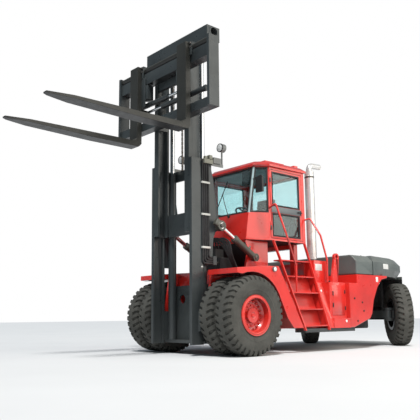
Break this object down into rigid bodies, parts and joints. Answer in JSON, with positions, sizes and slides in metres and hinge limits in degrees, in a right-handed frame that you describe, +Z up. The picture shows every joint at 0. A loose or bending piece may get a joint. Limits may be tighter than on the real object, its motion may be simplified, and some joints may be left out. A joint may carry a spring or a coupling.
{
  "type": "diesel forklift truck",
  "caption": "Heavy diesel counterbalance forklift with twin drive wheels, steered rear wheels, tall two-stage mast with raised fork carriage, glazed cab and cast counterweight.",
  "frame": {"origin": "on the ground under the middle of the overall box", "axes": "+X forward along the forks, +Y to the operator's left, +Z up"},
  "size_m": [9.32, 3.493, 6],
  "materials": {
    "red_paint": "gloss",
    "grey_paint": "satin",
    "mast_paint": "satin",
    "fork_steel": "satin",
    "chrome": "polished",
    "chain_steel": "oiled",
    "bright_steel": "polished",
    "engine_iron": "painted",
    "hose_rubber": "matte",
    "lamp_grey": "satin",
    "black_plastic": "grained",
    "seat_fabric": "woven",
    "glass": "clear tinted",
    "tyre": "matte"
  },
  "bodies": {
    "chassis": {"chassis_frame": "red_paint", "drive_axle": "mast_paint", "steer_axle": "mast_paint", "front_fenders": "red_paint", "side_boxes": "red_paint", "rear_bodies": "red_paint", "ladders": "red_paint", "handrails": "red_paint", "engine_hood": "grey_paint", "counterweight": "grey_paint", "tow_hitch": "mast_paint", "lifting_lugs": "red_paint", "deck": "red_paint", "engine_block": "engine_iron", "exhaust_stack": "bright_steel", "valve_block": "engine_iron", "cab_base": "red_paint", "cab_floor": "black_plastic", "cab_shell": "red_paint", "cab_roof": "red_paint", "cab_glass": "glass", "seat": "seat_fabric", "steering_wheel": "black_plastic", "dashboard": "black_plastic", "mirrors": "black_plastic", "marker_lamps": "lamp_grey"},
    "door_left": {"door_left": "red_paint", "door_glass_left": "glass"},
    "door_right": {"door_right": "red_paint", "door_glass_right": "glass"},
    "mast": {"outer_mast": "mast_paint", "lift_barrels": "mast_paint", "mast_hoses": "hose_rubber", "mast_lamps": "lamp_grey", "chain_rear_runs": "chain_steel"},
    "inner_mast": {"inner_mast": "mast_paint", "lift_rods": "chrome", "chain_sheaves": "chain_steel", "chain_front_runs": "chain_steel"},
    "carriage": {"carriage_frame": "mast_paint", "fork_shaft": "fork_steel", "positioner_barrels": "mast_paint"},
    "fork_left": {"fork_left": "fork_steel", "positioner_rod_left": "chrome"},
    "fork_right": {"fork_right": "fork_steel", "positioner_rod_right": "chrome"},
    "tilt_barrel_left": {"tilt_barrel_left": "mast_paint"},
    "tilt_barrel_right": {"tilt_barrel_right": "mast_paint"},
    "tilt_rod_left": {"tilt_rod_left": "chrome"},
    "tilt_rod_right": {"tilt_rod_right": "chrome"},
    "front_wheel_left": {"tyres_front_left": "tyre", "wheel_front_left": "red_paint"},
    "front_wheel_right": {"tyres_front_right": "tyre", "wheel_front_right": "red_paint"},
    "knuckle_left": {"knuckle_left": "mast_paint"},
    "knuckle_right": {"knuckle_right": "mast_paint"},
    "rear_wheel_left": {"tyre_rear_left": "tyre", "wheel_rear_left": "red_paint"},
    "rear_wheel_right": {"tyre_rear_right": "tyre", "wheel_rear_right": "red_paint"}
  },
  "joints": [
    {"name": "front_wheel_left_spin", "type": "hinge", "parent": "chassis", "child": "front_wheel_left", "pos_m": [1, 1.105, 0.685], "axis": [0, 1, 0], "continuous": true},
    {"name": "front_wheel_right_spin", "type": "hinge", "parent": "chassis", "child": "front_wheel_right", "pos_m": [1, -1.105, 0.685], "axis": [0, 1, 0], "continuous": true},
    {"name": "steer_left", "type": "hinge", "parent": "chassis", "child": "knuckle_left", "pos_m": [-3.7, 1, 0.685], "axis": [0, 0, 1], "range_deg": [-109, 15]},
    {"name": "steer_right", "type": "hinge", "parent": "chassis", "child": "knuckle_right", "pos_m": [-3.7, -1, 0.685], "axis": [0, 0, 1], "range_deg": [-109, 15]},
    {"name": "rear_wheel_left_spin", "type": "hinge", "parent": "knuckle_left", "child": "rear_wheel_left", "pos_m": [-3.8609, 1.15004, 0.685], "axis": [-0.7314, 0.682, 0], "continuous": true},
    {"name": "rear_wheel_right_spin", "type": "hinge", "parent": "knuckle_right", "child": "rear_wheel_right", "pos_m": [-3.5391, -1.15004, 0.685], "axis": [-0.7314, 0.682, 0], "continuous": true},
    {"name": "mast_tilt", "type": "hinge", "parent": "chassis", "child": "mast", "pos_m": [1.33, 0, 0.56], "axis": [0, 1, 0], "range_deg": [-10, 6]},
    {"name": "mast_lift", "type": "slide", "parent": "mast", "child": "inner_mast", "axis": [0, 0, 1], "range_m": [-1.945, 0.055], "deforming": ["chain_rear_runs"]},
    {"name": "carriage_lift", "type": "slide", "parent": "inner_mast", "child": "carriage", "axis": [0, 0, 1], "range_m": [-1.945, 0.055], "deforming": ["chain_front_runs"]},
    {"name": "fork_spread_left", "type": "slide", "parent": "carriage", "child": "fork_left", "axis": [0, 1, 0], "range_m": [-0.42, 0.4]},
    {"name": "fork_spread_right", "type": "slide", "parent": "carriage", "child": "fork_right", "axis": [0, 1, 0], "range_m": [-0.4, 0.42]},
    {"name": "tilt_barrel_left_pin", "type": "hinge", "parent": "chassis", "child": "tilt_barrel_left", "pos_m": [0.25, 0.715, 1.77], "axis": [0, 1, 0], "range_deg": [-7.6, 4.6]},
    {"name": "tilt_barrel_right_pin", "type": "hinge", "parent": "chassis", "child": "tilt_barrel_right", "pos_m": [0.25, -0.715, 1.77], "axis": [0, 1, 0], "range_deg": [-7.6, 4.6]},
    {"name": "tilt_rod_left_slide", "type": "slide", "parent": "tilt_barrel_left", "child": "tilt_rod_left", "axis": [0.8513, 0, 0.5247], "range_m": [-0.282, 0.17]},
    {"name": "tilt_rod_right_slide", "type": "slide", "parent": "tilt_barrel_right", "child": "tilt_rod_right", "axis": [0.8513, 0, 0.5247], "range_m": [-0.282, 0.17]},
    {"name": "door_left_hinge", "type": "hinge", "parent": "chassis", "child": "door_left", "pos_m": [-0.13, 0.82, 2.82], "axis": [0, 0, -1], "range_deg": [0, 85]},
    {"name": "door_right_hinge", "type": "hinge", "parent": "chassis", "child": "door_right", "pos_m": [-0.13, -0.82, 2.82], "axis": [0, 0, 1], "range_deg": [0, 85]}
  ],
  "couplings": [
    {"joint": "steer_right", "follows": "steer_left", "ratio": 1},
    {"joint": "carriage_lift", "follows": "mast_lift", "ratio": 1},
    {"joint": "fork_spread_right", "follows": "fork_spread_left", "ratio": -1},
    {"joint": "tilt_barrel_left_pin", "follows": "mast_tilt", "ratio": 0.75},
    {"joint": "tilt_barrel_right_pin", "follows": "mast_tilt", "ratio": 0.75},
    {"joint": "tilt_rod_left_slide", "follows": "mast_tilt", "m_per_rad": 1.6014},
    {"joint": "tilt_rod_right_slide", "follows": "mast_tilt", "m_per_rad": 1.6014}
  ]
}
